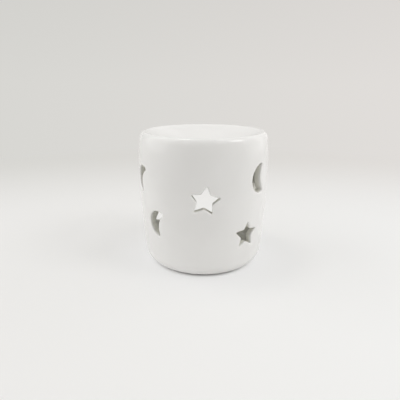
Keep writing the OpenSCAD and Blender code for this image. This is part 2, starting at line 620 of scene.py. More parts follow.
@dataclass(frozen=True)
class PressedAluminium(Finish):
    """Thin pressed aluminium with dull smudges and fine drawing lines."""

    bright: Colour = (0.80, 0.805, 0.815)
    dull: Colour = (0.71, 0.715, 0.725)
    smudge_scales: tuple[float, float] = (160.0, 900.0)
    smudge_roughness: float = 0.2
    line_scales: tuple[float, float] = (900.0, 2600.0)
    line_stretch: Place = (1.0, 1.0, 0.12)
    line_relief: tuple[float, float] = (0.25, 0.05)

    def make(self, name: str, polish: float) -> bpy.types.Material:
        """Builds the material.

        Args:
            name: the material's name.
            polish: roughness of the brightest parts.

        Returns:
            The material.
        """
        material, desk, shader, place = self.begin(name)
        stretch = desk.node("ShaderNodeMapping", Scale=self.line_stretch)
        desk.link(place, stretch.inputs["Vector"])
        smudge = self.uneven(desk, place, self.smudge_scales).outputs["Broad"]
        drawn = self.uneven(desk, stretch.outputs["Vector"], self.line_scales)
        self.paint(desk, shader,
                   desk.mix_colour(desk.spread(smudge, 0.0, 1.0), self.bright, self.dull),
                   desk.spread(smudge, polish, polish + self.smudge_roughness))
        self.raise_surface(desk, shader, drawn.outputs["Height"], *self.line_relief)
        shader.inputs["Metallic"].default_value = 1.0
        return material


@dataclass(frozen=True)
class PaleWax(Finish):
    """Cloudy paraffin wax with a faint bloom and a few bubbles."""

    clear: Colour = (0.80, 0.785, 0.74)
    bloom: Colour = (0.86, 0.85, 0.82)
    cloud_scales: tuple[float, float] = (210.0, 1100.0)
    roughness: tuple[float, float] = (0.32, 0.5)
    bubble_scale: float = 420.0
    bubble_size: float = 0.16
    bubble_share: float = 0.12
    bubble_depth: float = 0.4
    relief: tuple[float, float] = (0.4, 0.15)
    glow: float = 0.25
    glow_tint: Colour = (1.0, 0.8, 0.6)
    glow_depth: float = 2.0

    def make(self) -> bpy.types.Material:
        """Builds the material.

        Returns:
            The material, which lets a little light in.
        """
        material, desk, shader, place = self.begin("pale_wax")
        cloud = self.uneven(desk, place, self.cloud_scales)
        bubble = desk.group(Palette.specks(), place, Scale=self.bubble_scale,
                            Size=self.bubble_size, Share=self.bubble_share)
        haze = desk.spread(cloud.outputs["Broad"], 0.0, 1.0)
        self.paint(desk, shader, desk.mix_colour(haze, self.clear, self.bloom),
                   desk.spread(cloud.outputs["Fine"], *self.roughness))
        dimple = desk.math("MULTIPLY", bubble.outputs["Mask"], -self.bubble_depth)
        self.raise_surface(desk, shader, desk.math("ADD", cloud.outputs["Height"], dimple),
                           *self.relief)
        shader.inputs["Subsurface Weight"].default_value = self.glow
        shader.inputs["Subsurface Radius"].default_value = self.glow_tint
        shader.inputs["Subsurface Scale"].default_value = self.glow_depth * MM
        return material


@dataclass(frozen=True)
class WaxedCotton(Finish):
    """Braided cotton, off-white, with painted shade in the furrows between the strands."""

    strand: Colour = (0.78, 0.75, 0.68)
    # furrow: painted shade, the darker colour laid in the furrows between the strands
    furrow: Colour = (0.42, 0.39, 0.33)
    fibre_scales: tuple[float, float] = (900.0, 5200.0)
    fibre_shade: float = 0.35
    roughness: tuple[float, float] = (0.6, 0.9)
    relief: tuple[float, float] = (0.6, 0.08)

    def make(self) -> bpy.types.Material:
        """Builds the material.

        Returns:
            The material, which reads the trait furrow of the wick.
        """
        material, desk, shader, place = self.begin("waxed_cotton")
        fibre = self.uneven(desk, place, self.fibre_scales)
        shade = desk.spread(fibre.outputs["Fine"], 0.0, self.fibre_shade)
        # Painted shade: the wick's furrow trait darkens the furrows between the strands.
        colour = desk.mix_colour(desk.trait("furrow"), self.strand, self.furrow)
        self.paint(desk, shader, desk.mix_colour(shade, colour, self.furrow),
                   desk.spread(fibre.outputs["Broad"], *self.roughness))
        self.raise_surface(desk, shader, fibre.outputs["Fine"], *self.relief)
        return material


@dataclass(frozen=True)
class PaperFloor(Finish):
    """Matt pale paper that sweeps into the backdrop, painted darker on the left and far away.

    The darker left and far tones are painted shade of light that falls from the right. Sight lines
    and reflections see part of the paper as a plain tone, so that shadows on it stay faint; close
    round the object that plain tone is painted light over most of the shade, up to a thin ring of
    contact shadow. Towards the front the paper's own colour is painted darker, painted shade that
    makes the light it throws back on the object fall off there.
    """

    fan: Place = (0.0, -320.0, 0.0)
    sides: float = 0.43
    # near and far: left and right tones, darker on the left and far away: painted shade
    near: tuple[Colour, Colour] = ((0.816, 0.811, 0.802), (0.846, 0.846, 0.842))
    far: tuple[Colour, Colour] = ((0.685, 0.678, 0.650), (0.748, 0.724, 0.700))
    # painted_front_shade: painted shade, the paper's own colour towards the front, which dims the
    # light it throws back on the object
    painted_front_shade: Colour = (0.40, 0.395, 0.38)
    sweep: tuple[float, float] = (376.0, 701.0)
    painted_front_shade_from: tuple[float, float] = (-130.0, -290.0)
    # painted_light_near: painted light, the share of plain tone close round the object, over most
    # of its shade
    painted_light_near: float = 0.8
    painted_light_near_fade: tuple[float, float] = (34.0, 70.0)
    plain: float = 0.25
    plain_fade: tuple[float, float] = (120.0, 450.0)
    shade_to: tuple[float, float] = (31.0, 34.5)
    roughness: float = 0.9
    shine: float = 0.1

    def tone(self, desk: Desk, place: Socket) -> Socket:
        """The paper's colour.

        The tones fan out from a point before the object: they change from left to right with the
        direction from that point, and from the paper to the backdrop with the distance from it.
        Both
        changes are painted shade: darker on the left and far away.

        Args:
            desk: the material's desk.
            place: Object coordinates.

        Returns:
            The colour.
        """
        ray = desk.vector("SUBTRACT", place, metres(self.fan))
        heading = desk.split(desk.vector("NORMALIZE", ray))
        side = desk.spread(heading["X"], 0.0, 1.0, -self.sides, self.sides)
        back = desk.spread(desk.vector("LENGTH", ray), 0.0, 1.0, *metres(self.sweep), smooth=True)
        return desk.mix_colour(back, desk.mix_colour(side, *self.near),
                               desk.mix_colour(side, *self.far))

    def make(self) -> bpy.types.Material:
        """Builds the material.

        Returns:
            The material: lit paper near the object, plain backdrop tone far from it.
        """
        material, desk, shader, place = self.begin("paper_floor")
        tone = self.tone(desk, place)
        # Painted shade: towards the front the paper's own colour turns dark, so it throws back less
        # light on the object; sight lines see the plain tone there.
        ahead = desk.spread(desk.split(place)["Y"], 0.0, 1.0, *metres(self.painted_front_shade_from))
        desk.link(desk.mix_colour(ahead, tone, self.painted_front_shade), shader.inputs["Base Color"])
        shader.inputs["Roughness"].default_value = self.roughness
        shader.inputs["Specular IOR Level"].default_value = self.shine
        glow = desk.node("ShaderNodeEmission", Strength=1.0)
        desk.link(tone, glow.inputs["Color"])
        away = desk.vector("LENGTH", place)
        # Painted light: close round the object sight lines see mostly the plain tone instead of the
        # shade; within shade_to only the true contact shadow shows.
        share = desk.math(
            "MAXIMUM", desk.spread(away, self.painted_light_near, self.plain, *metres(self.painted_light_near_fade)),
            desk.spread(away, self.plain, 1.0, *metres(self.plain_fade)))
        share = desk.math("MAXIMUM", share, ahead)
        clear = desk.spread(away, 0.0, 1.0, *metres(self.shade_to))
        share = desk.math("MULTIPLY", desk.seen(), desk.math("MULTIPLY", share, clear))
        mixed = desk.mix_shader(share, shader.outputs["BSDF"], glow.outputs["Emission"])
        output = next(node for node in desk.tree.nodes if node.type == "OUTPUT_MATERIAL")
        desk.link(mixed, output.inputs["Surface"])
        return material


# ---------------------------------------- holder


@dataclass(frozen=True)
class Lip:
    """The soft edge that glaze leaves round an opening, how thin it is there, and its rows."""

    outside: float = 0.9
    inside: float = 0.7
    thin_outside: float = 0.5
    thin_passage: float = 0.3
    thin_inside: float = 0.4
    apron_rows: int = 5
    round_rows: int = 5
    wall_rows: int = 3


@dataclass(frozen=True)
class CutOut:
    """One star or crescent: where it stands on the wall, how it is turned, and its drawing."""

    name: str
    shape: CutShape
    angle: float
    height: float
    turn: float
    reach: float
    waist: float = 0.52
    bite: float = 11.0
    thickness: float = 7.6
    samples: int = 1440
    softness: float = 0.45
    waver: tuple[float, float] = (0.018, 0.012)
    columns: tuple[int, int] = (15, 15)
    half_height: float = 10.6

    def _star(self) -> tuple[np.ndarray, np.ndarray, np.ndarray]:
        """Five points: straight edges between tips on one circle and waists on a smaller one.

        Returns:
            The outline, the places in it of its tips and waists, and the middle it is seen from.
        """
        corner = np.arange(11)
        angle = math.pi / 2.0 + corner * (math.pi / 5.0)
        radius = np.where(corner % 2 == 0, self.reach, self.reach * self.waist)
        place = np.arange(self.samples) * (10.0 / self.samples)
        outline = paired(np.interp(place, corner, radius * np.cos(angle)),
                         np.interp(place, corner, radius * np.sin(angle)))
        return outline, corner[:10] * (self.samples // 10), np.zeros(2)

    def _crescent(self) -> tuple[np.ndarray, np.ndarray, np.ndarray]:
        """A disc bitten by a larger circle: the disc's arc between the horns, then the bite's arc.

        Returns:
            The outline, the places in it of its horns and of the middles of its arcs, and the
            middle it is seen from.
        """
        shift = self.thickness - self.reach + self.bite
        horn = (self.reach ** 2 - self.bite ** 2 + shift ** 2) / (2.0 * shift)
        back = math.acos(horn / self.reach)
        front = math.acos((shift - horn) / self.bite)
        sweep = 2.0 * math.pi - 2.0 * back
        share = self.reach * sweep / (self.reach * sweep + self.bite * 2.0 * front)
        turn = int(round(self.samples * share / 2.0)) * 2
        rise = back + np.arange(turn) * (sweep / turn)
        rest = self.samples - turn
        fall = math.pi + front - np.arange(rest) * (2.0 * front / rest)
        outline = np.concatenate([
            paired(self.reach * np.cos(rise), self.reach * np.sin(rise)),
            paired(shift + self.bite * np.cos(fall), self.bite * np.sin(fall))])
        marks = np.array([0, turn // 2, turn, turn + rest // 2])
        return outline, marks, np.array([self.thickness / 2.0 - self.reach, 0.0])

    def outline(self) -> tuple[np.ndarray, np.ndarray, np.ndarray]:
        """The softened drawing, turned as it stands on the wall.

        A slow wave in its reach, of a few hundredths, stands for the hand that cut it.

        Returns:
            The anticlockwise outline as offsets to the right and up, the places of its marks, and
            its middle.
        """
        drawn, marks, middle = self._star() if self.shape is CutShape.STAR else self._crescent()
        step = np.linalg.norm(np.diff(drawn, axis=0), axis=1).mean()
        full = np.abs(drawn).max()
        soft = softened(drawn, self.softness / step)
        soft *= full / np.abs(soft).max()
        angle = np.arctan2(soft[:, 1], soft[:, 0])
        two, three = self.waver
        waver = two * np.sin(2.0 * angle + self.angle) + three * np.sin(3.0 * angle - self.height)
        soft *= 1.0 + waver[:, None]
        lean = math.radians(-self.turn)
        spin = np.array([[math.cos(lean), math.sin(lean)], [-math.sin(lean), math.cos(lean)]])
        return soft @ spin, marks, middle @ spin

    def rim(self, frame_offsets: np.ndarray) -> tuple[np.ndarray, np.ndarray]:
        """Points of the outline that face the points of a frame round it.

        Each mark of the outline goes to the frame point in its direction, and the points between
        two marks share the outline between them evenly.

        Args:
            frame_offsets: count x 2 offsets of the frame's points, anticlockwise.

        Returns:
            count x 2 points of the outline and their outward normals.
        """
        outline, marks, middle = self.outline()
        normals = outward_normals(outline)
        count, samples = len(frame_offsets), len(outline)
        seen = frame_offsets - middle
        facing = np.unwrap(np.arctan2(seen[:, 1], seen[:, 0]))
        aim = outline[marks] - middle
        aim = np.arctan2(aim[:, 1], aim[:, 0])
        aim = facing[0] + np.mod(aim - facing[0], 2.0 * math.pi)
        order = np.argsort(aim)
        whole = np.append(facing, facing[0] + 2.0 * math.pi)
        node = np.round(np.interp(aim[order], whole, np.arange(count + 1)))
        mark = marks[order].astype(float)
        mark = mark + samples * (mark < mark[0])
        node = np.concatenate([[node[-1] - count], node, [node[0] + count]])
        mark = np.concatenate([[mark[-1] - samples], mark, [mark[0] + samples]])
        place = np.interp(np.arange(count), node, mark)
        ring = np.arange(samples + 1)
        pick = np.mod(place, samples)

        def taken(values: np.ndarray) -> np.ndarray:
            """Values of the outline at the picked places, straight between its samples."""
            closed = np.vstack([values, values[:1]])
            return paired(np.interp(pick, ring, closed[:, 0]), np.interp(pick, ring, closed[:, 1]))

        return taken(outline), taken(normals)


@dataclass(frozen=True)
class RearArch:
    """The arch at the back, level with the floor inside, through which the tealight goes in."""

    angle: float = 180.0
    half_width: float = 21.0
    sill: float = 4.5
    spring: float = 21.5
    half_columns: int = 44
    clear_above: float = 3.0
    jamb_start: float = 0.3
    jamb_ease: float = 12.0

    def rim(self, sill_steps: int, rest_steps: int) -> tuple[np.ndarray, np.ndarray]:
        """Points along the sill, then up one jamb, over the half circle and down the other jamb.

        Args:
            sill_steps: the number of spaces along the sill.
            rest_steps: the number of spaces along the rest.

        Returns:
            Points as right and height, anticlockwise from the left end of the sill, and outward
            normals.
        """
        width, rise = self.half_width, self.spring - self.sill
        along = np.arange(sill_steps) / sill_steps
        sill = paired(width * (2.0 * along - 1.0), self.sill)
        run = np.arange(rest_steps) * ((2.0 * rise + math.pi * width) / rest_steps)
        bow = np.clip((run - rise) / width, 0.0, math.pi)
        over = np.clip(run - rise - math.pi * width, 0.0, None)
        rest = paired(width * np.cos(bow),
                      self.sill + np.minimum(run, rise) + width * np.sin(bow) - over)
        points = np.concatenate([sill, rest])
        return points, outward_normals(points)


@dataclass
class GlazedShell:
    """The ceramic body: barrel, shoulder, rolled rim, dish, chamber, foot ring and cut-outs.

    Rings are radii and levels are heights. rim_thin is how thin the glaze is on the crest, and the
    height over which that fades. foot_flat is how far the flat of the foot ring stays from its two
    edges. A wave is its depth, its count round the axis, its lean with height and its start: the
    waves begin at still_below and have their full depth still_ease higher. The foot has no glaze
    below bare_below, from the radius bare_from to bare_past beyond the centre of the base arc.
    """

    radius: float = 40.0
    height: float = 82.0
    wall: float = 4.5
    widest: float = 64.0
    barrel_radius: float = 620.0
    shoulder_radius: float = 95.0
    rim_radius: float = 2.0
    rim_fall: float = 5.6
    rim_inset: float = 0.3
    rim_start: float = 1.0
    rim_thin: tuple[float, float] = (0.6, 1.1)
    base_radius: float = 9.5
    dish_depth: float = 10.0
    dish_thickness: float = 4.5
    foot_width: float = 4.0
    foot_recess: float = 0.8
    foot_slope: float = 1.4
    foot_edge: tuple[tuple[float, float], ...] = (
        (-0.7, 0.76), (-0.3, 0.6), (0.0, 0.38), (0.2, 0.14), (0.5, 0.02))
    foot_flat: tuple[float, float] = (0.9, 0.4)
    hollow_rings: tuple[float, ...] = (0.0, 5.0, 11.0, 17.0)
    floor_rings: tuple[float, ...] = (0.0, 4.0, 9.0, 14.0, 18.0)
    floor_edge: tuple[float, ...] = (21.5, 24.0, 26.4)
    floor_corner: float = 0.2
    base_levels: tuple[float, ...] = (1.0, 2.0, 3.2)
    chamber_levels: tuple[float, ...] = (5.3, 6.2, 7.2, 8.3)
    wall_levels: tuple[float, float, float] = (9.4, 70.0, 1.0)
    ceiling_level: float = 74.0
    ceiling_corner: tuple[float, float] = (34.85, 76.15)
    vault_reach: float = 32.6
    waves: tuple[tuple[float, float, float, float], ...] = (
        (0.085, 2.0, 0.03, 0.7), (0.055, 3.0, -0.045, 2.0), (0.035, 5.0, 0.11, 0.0))
    still_below: float = 1.0
    still_ease: float = 12.0
    bare_below: float = 0.16
    bare_from: float = 20.0
    bare_past: float = 1.5
    columns: int = 360
    lip: Lip = field(default_factory=Lip)
    arch: RearArch = field(default_factory=RearArch)
    cut_outs: tuple[CutOut, ...] = (
        CutOut("front_star", CutShape.STAR, 0.7, 48.55, 7.5, 8.2),
        CutOut("side_star", CutShape.STAR, 40.05, 25.4, 2.2, 8.0, waist=0.47, softness=0.7,
               columns=(16, 16)),
        CutOut("rear_star", CutShape.STAR, -122.0, 21.0, 24.0, 8.4, columns=(14, 15)),
        CutOut("right_crescent", CutShape.CRESCENT, 55.5, 57.75, -6.0, 8.5, bite=9.6, thickness=7.5,
               softness=2.2, columns=(16, 15)),
        CutOut("left_crescent", CutShape.CRESCENT, -63.05, 56.1, 17.4, 8.0, bite=8.55,
               thickness=6.75, softness=1.25),
        CutOut("low_crescent", CutShape.CRESCENT, -41.9, 31.75, 14.8, 7.8, bite=11.2, thickness=7.6,
               softness=0.95),
        CutOut("flank_crescent", CutShape.CRESCENT, 108.0, 38.0, 12.0, 8.1, softness=0.8),
    )

    def __post_init__(self) -> None:
        """Works out the centres of the profile's arcs, which run into each other."""
        self.barrel_axis = self.radius - self.barrel_radius
        self.shoulder_axis = self.radius - self.shoulder_radius
        reach, rise = self.barrel_radius - self.base_radius, self.widest - self.base_radius
        self.base_centre = self.barrel_axis + math.sqrt(reach ** 2 - rise ** 2)
        self.crest_level = self.height - self.rim_radius
        reach, rise = self.shoulder_radius - self.rim_radius, self.crest_level - self.widest
        self.crest_centre = self.shoulder_axis + math.sqrt(reach ** 2 - rise ** 2) - self.rim_inset
        drop = self.dish_depth - self.rim_radius
        bowl = drop ** 2 + self.crest_centre ** 2 - self.rim_radius ** 2
        self.dish_radius = bowl / (2.0 * self.dish_depth)
        self.dish_centre = self.height - self.dish_depth + self.dish_radius

    def reach_at(self, level: np.ndarray, inset: float) -> np.ndarray:
        """Radius of the wall at a height.

        The wall is the base arc up to where it runs into the barrel arc, the barrel arc up to the
        widest level, and the shoulder arc above, each with its radius less the inset.

        Args:
            level: heights.
            inset: 0 for the outside and the wall's thickness for the inside.

        Returns:
            The radii.
        """
        rise = self.base_radius - np.minimum(level, self.base_radius)
        bulge = np.sqrt(np.maximum((self.base_radius - inset) ** 2 - rise ** 2, 0.0))
        base = self.base_centre + bulge
        axis = np.where(level < self.widest, self.barrel_axis, self.shoulder_axis)
        bow = np.where(level < self.widest, self.barrel_radius, self.shoulder_radius) - inset
        upright = axis + np.sqrt(bow ** 2 - (level - self.widest) ** 2)
        return np.where(level < self.base_radius, np.minimum(base, upright), upright)

    def wall_rows(self) -> tuple[np.ndarray, np.ndarray, int]:
        """Rows of the wall, which pair a ring outside with a ring inside.

        Below the sill the rings outside go down the base arc while those inside go in along the
        floor.

        Returns:
            Radius and height of the rings outside, the same inside, and the row of the sill.
        """
        level = np.concatenate([[self.arch.sill], self.chamber_levels,
                                np.arange(*self.wall_levels)])
        outside = np.concatenate([self.base_levels, level])
        outside = paired(self.reach_at(outside, 0.0), outside)
        inside = paired(self.reach_at(level, self.wall), level)
        inside[0, 0] = self.base_centre + self.floor_corner
        floor = paired(np.array(self.floor_edge), self.arch.sill)
        return outside, np.concatenate([floor, inside]), len(self.base_levels)

    def underside(self, join: np.ndarray) -> np.ndarray:
        """Profile from the middle of the underside over the foot ring and up the base to the wall.

        Args:
            join: radius and height of the wall's lowest ring.

        Returns:
            Rows of radius and height, the last of them the join.
        """
        ring = self.base_centre - self.foot_width
        hollow = paired(np.array([*self.hollow_rings, ring - self.foot_slope]), self.foot_recess)
        step = np.array(self.foot_edge) + [ring, 0.0]
        start, end = self.foot_flat
        flat = paired(np.linspace(ring + start, self.base_centre - end, 4), 0.0)
        end = -math.degrees(math.asin((self.base_radius - join[1]) / self.base_radius))
        turn = arc((self.base_centre, self.base_radius), self.base_radius, -90.0, end, 5)[:-1]
        return np.concatenate([hollow, step, flat, turn, join[None]])

    def crown(self, join: np.ndarray) -> np.ndarray:
        """Profile from the wall up the shoulder, over the rim and down the dish to its middle.

        Outside, the rim is the quarter of an ellipse that rises from the shoulder, a little above
        the ellipse's middle, to the crest. Inside, it is an arc from the crest to the dish.

        Args:
            join: radius and height of the wall's highest ring.

        Returns:
            Rows of radius and height, the first of them the join.
        """
        middle = self.height - self.rim_fall
        level = np.linspace(join[1], middle + self.rim_start, 9)
        shoulder = paired(self.reach_at(level, 0.0), level)
        rise = math.asin(self.rim_start / self.rim_fall)
        turn = np.linspace(rise, math.pi / 2.0, 12)[1:]
        width = (shoulder[-1, 0] - self.crest_centre) / math.cos(rise)
        roll = paired(self.crest_centre + width * np.cos(turn),
                      middle + self.rim_fall * np.sin(turn))
        drop = self.dish_centre - self.crest_level
        inner = 180.0 - math.degrees(math.atan2(drop, self.crest_centre))
        back = arc((self.crest_centre, self.crest_level), self.rim_radius, 90.0, inner, 7)
        slope = arc((0.0, self.dish_centre), self.dish_radius, inner - 180.0, -90.0, 26)
        slope = paired(np.abs(slope[:, 0]), slope[:, 1])
        slope[-1, 0] = 0.0
        return np.concatenate([join[None], shoulder[1:], roll, back[1:], slope[1:]])

    def ceiling(self, join: np.ndarray) -> np.ndarray:
        """Profile inside from the wall up, round a soft corner, to the middle under the dish.

        The corner is a curve drawn by three points: its ends and the place that it bends towards.

        Args:
            join: radius and height of the wall's highest ring inside.

        Returns:
            Rows of radius and height, the first of them the join.
        """
        under = self.dish_radius + self.dish_thickness
        level = np.linspace(join[1], self.ceiling_level, 5)
        side = paired(self.reach_at(level, self.wall), level)
        radius = np.concatenate([np.linspace(self.vault_reach, 4.0, 12), [0.0]])
        vault = paired(radius, self.dish_centre - np.sqrt(under ** 2 - radius ** 2))
        corner = np.array(self.ceiling_corner)
        blend = np.linspace(0.0, 1.0, 7)[1:-1, None]
        rest = 1.0 - blend
        soft = rest ** 2 * side[-1] + 2.0 * blend * rest * corner + blend ** 2 * vault[0]
        return np.concatenate([join[None], side[1:], soft, vault])

    def hand(self, points: np.ndarray) -> np.ndarray:
        """The slight unevenness of a cast and fettled shell.

        Three slow waves round the axis, leaning a little with height, move each point in or out by
        less than 0.2 mm at the wall, less towards the axis and not at all at the foot.

        Args:
            points: points of the shell.

        Returns:
            The moved points.
        """
        angle = np.arctan2(points[..., 0], -points[..., 1])
        level = points[..., 2]
        wave = sum(depth * np.sin(count * angle + lean * level + start)
                   for depth, count, lean, start in self.waves)
        share = wave / self.radius * np.clip((level - self.still_below) / self.still_ease, 0.0, 1.0)
        return points * np.stack([1.0 + share, 1.0 + share, np.ones_like(share)], axis=-1)

    def block(self, low: int, high: int, left: int, right: int) -> tuple[np.ndarray, np.ndarray]:
        """The nodes round a block of the wall's grid, anticlockwise from its lower left corner.

        Args:
            low: its lowest row.
            high: its highest row.
            left: its first column.
            right: its last column.

        Returns:
            Rows and columns of the nodes.
        """
        across, up = np.arange(left, right), np.arange(low, high)
        level, upright = np.ones_like(across), np.ones_like(up)
        rows = np.concatenate([low * level, up, high * level, up[::-1] + 1])
        columns = np.concatenate([across, right * upright, across[::-1] + 1, left * upright])
        return rows, columns

    def through(self, rim: np.ndarray, normal: np.ndarray, angle: float, outer: np.ndarray,
                inner: np.ndarray) -> tuple[np.ndarray, np.ndarray]:
        """The surface of one opening, from its frame outside, round both lips, to its frame inside.

        Lines run from each frame point over the outside to a lip's width from the rim, round a
        quarter circle into the wall, straight through it, round a second quarter circle, and over
        the inside to the frame point there. A point at u to the right and z up lies at the depth
        sqrt(R(z)^2 - u^2) on a wall of radius R.

        Args:
            rim: count x 2 points of the opening, right and height.
            normal: their outward normals.
            angle: the opening's direction, in degrees to the right of the front.
            outer: count x 3 points of the frame outside.
            inner: count x 3 points of the frame inside.

        Returns:
            rows x count x 3 points, and rows x count x 3 traits.
        """
        turn = math.radians(angle)
        out = np.array([math.sin(turn), -math.cos(turn), 0.0])
        side = np.array([math.cos(turn), math.sin(turn), 0.0])
        up = np.array([0.0, 0.0, 1.0])

        def surface(flat: np.ndarray, inset: float, sunk: np.ndarray | float) -> np.ndarray:
            """Points at right and height on a wall, sunk below it along the opening's axis."""
            depth = np.sqrt(self.reach_at(flat[..., 1], inset) ** 2 - flat[..., 0] ** 2) - sunk
            return depth[..., None] * out + flat[..., :1] * side + flat[..., 1:] * up

        def flat_of(points: np.ndarray) -> np.ndarray:
            """Right and height of points."""
            return paired(points @ side, points[:, 2])

        lip = self.lip
        apron = np.linspace(0.0, 1.0, lip.apron_rows + 1)[:, None, None]
        bend = np.linspace(0.0, math.pi / 2.0, lip.round_rows + 1)[1:, None, None]
        cross = np.linspace(0.0, 1.0, lip.wall_rows + 2)[1:, None, None]
        start, end = rim + normal * lip.outside, rim + normal * lip.inside
        over = surface((1.0 - apron) * flat_of(outer) + apron * start, 0.0, 0.0)
        round_out = surface(rim + (start - rim) * (1.0 - np.sin(bend)), 0.0,
                            lip.outside * (1.0 - np.cos(bend[..., 0])))
        deep = surface(rim, self.wall, -lip.inside)
        passage = round_out[-1] + cross * (deep - round_out[-1])
        round_in = surface(rim + (end - rim) * (1.0 - np.cos(bend)), self.wall,
                           -lip.inside * (1.0 - np.sin(bend[..., 0])))
        under = surface((1.0 - apron[1:]) * end + apron[1:] * flat_of(inner), self.wall, 0.0)
        points = np.concatenate([over, round_out, passage, round_in, under])
        points[0], points[-1] = outer, inner
        curl = 0.5 * np.sin(2.0 * bend.ravel())
        thin = np.concatenate([
            np.clip(apron.ravel() * 3.0 - 2.0, 0.0, 1.0) * lip.thin_outside,
            lip.thin_outside + curl, lip.thin_passage * np.ones(len(cross)),
            lip.thin_inside + curl, np.linspace(lip.thin_passage, 0.0, lip.apron_rows)])
        # The passage through the wall, the inner lip and the apron inside take the inside trait,
        # and with it the painted inside tone.
        within = np.arange(len(points)) >= len(over) + len(round_out)
        return points, self._traits(points, thin[:, None], 0.0, within[:, None])

    def _traits(self, grid: np.ndarray, thin: np.ndarray | float, bare: np.ndarray | float,
                inside: np.ndarray | float) -> np.ndarray:
        """Traits for a grid's points, each given for all of them or by row."""
        parts = [np.broadcast_to(part, grid.shape[:2]) for part in (thin, bare, inside)]
        return np.stack(parts, axis=-1).astype(float)

    def arch_surface(self, rim: np.ndarray, normal: np.ndarray, outer: np.ndarray,
                     inner: np.ndarray, sill: np.ndarray) -> tuple[np.ndarray, np.ndarray]:
        """The surface of the rear arch, whose sill runs level into the floor.

        The lines of the jambs and the arch go through the wall as those of a cut-out do. A line of
        the sill turns in round the outer lip and then runs straight to its floor point, with no lip
        inside.

        Args:
            rim: count x 2 points of the arch, right and height.
            normal: their outward normals.
            outer: count x 3 points of the frame outside.
            inner: count x 3 points of the frame inside.
            sill: count, true for the lines of the sill.

        Returns:
            rows x count x 3 points, and rows x count x 3 traits.
        """
        start, rise = self.arch.jamb_start, rim[:, 1:] - self.arch.sill
        safe = normal * np.clip(start + rise / self.arch.jamb_ease, start, 1.0)
        safe[sill, 1] = np.minimum(normal[sill, 1], 0.0)
        points, traits = self.through(rim, safe, self.arch.angle, outer, inner)
        first = self.lip.apron_rows + self.lip.round_rows
        share = np.linspace(0.0, 1.0, len(points) - first)[:, None, None]
        points[first:, sill] = points[first, sill] + share * (inner[sill] - points[first, sill])
        traits[first + 1:, sill, 0] = 0.0
        return points, traits

    def build(self) -> bpy.types.Object:
        """Sews the shell together.

        Returns:
            The shell's object.
        """
        outside, inside, sill_row = self.wall_rows()
        outer, inner = turned(outside, self.columns), turned(inside, self.columns)
        keep = np.ones((len(outside) - 1, self.columns), dtype=bool)
        quilt = Quilt(("thin", "bare", "inside"))
        per_degree = self.columns / 360.0

        def opened(low: int, high: int, angle: float, left: int,
                   right: int) -> tuple[np.ndarray, np.ndarray, np.ndarray]:
            """Takes a block out of the wall.

            Args:
                low: its lowest row.
                high: its highest row.
                angle: the direction of its middle column, in degrees.
                left: the number of columns before the middle.
                right: the number of columns after it.

            Returns:
                Points of its frame outside and inside, and their rows.
            """
            middle = round(angle * per_degree)
            rows, columns = self.block(low, high, middle - left, middle + right)
            keep[low:high, np.arange(middle - left, middle + right) % self.columns] = False
            return outer[rows, columns % self.columns], inner[rows, columns % self.columns], rows

        for cut in self.cut_outs:
            span = [cut.height - cut.half_height, cut.height + cut.half_height]
            low, high = np.searchsorted(outside[:, 1], span)
            near, far, _ = opened(low, high, cut.angle, *cut.columns)
            turn = math.radians(cut.angle)
            offsets = paired(near @ [math.cos(turn), math.sin(turn), 0.0], near[:, 2] - cut.height)
            rim, normal = cut.rim(offsets)
            opening = self.through(rim + [0.0, cut.height], normal, cut.angle, near, far)
            quilt.add(*self._moved(opening))
            LOG.info("%s: cut at %.1f degrees", cut.name, cut.angle)

        arch = self.arch
        top = arch.spring + arch.half_width + arch.clear_above
        high = int(np.searchsorted(outside[:, 1], top))
        near, far, rows = opened(0, high, arch.angle, arch.half_columns, arch.half_columns)
        near, far, rows = (np.roll(part, sill_row, axis=0) for part in (near, far, rows))
        steps = 2 * arch.half_columns + 2 * sill_row
        rim, normal = arch.rim(steps, len(near) - steps)
        quilt.add(*self._moved(self.arch_surface(rim, normal, near, far, rows <= sill_row)))

        quilt.add(self.hand(outer), keep=keep)
        # The inner wall, and below it the ceiling and the floor inside, take the inside trait and
        # with it the painted inside tone.
        quilt.add(self.hand(inner), self._traits(inner, 0.0, 0.0, 1.0), keep, inward=True)
        thinned, spread = self.rim_thin
        for profile, inward in (
                (self.underside(outside[0]), False), (self.crown(outside[-1]), False),
                (self.ceiling(inside[-1]), True), (self._floor(inside[0]), True)):
            grid = turned(profile, self.columns)
            reach, level = profile[:, :1], profile[:, 1:]
            crest = np.exp(-((level - self.height) / spread) ** 2)
            foot = (reach > self.bare_from) & (reach < self.base_centre + self.bare_past)
            traits = self._traits(grid, thinned * crest, foot & (level < self.bare_below), inward)
            quilt.add(self.hand(grid), traits, inward=inward)
        return quilt.sew("glazed_shell")

    def _moved(self, surface: tuple[np.ndarray, np.ndarray]) -> tuple[np.ndarray, np.ndarray]:
        """The same surface after the hand's unevenness."""
        return self.hand(surface[0]), surface[1]

    def _floor(self, join: np.ndarray) -> np.ndarray:
        """Profile of the floor inside from its middle to the wall's lowest ring."""
        return np.concatenate([paired(np.array(self.floor_rings), join[1]), join[None]])

    def dress(self, shell: bpy.types.Object, glaze: WhiteGlaze) -> bpy.types.Object:
        """Glazes the shell and puts it in the place of its CAD node.

        Args:
            shell: the shell's object.
            glaze: its finish.

        Returns:
            The same object.
        """
        shell.data.materials.append(glaze.make())
        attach(shell, Body.HOLDER.value)
        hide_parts("ceramic_body")
        return shell


# ---------------------------------------- tealight


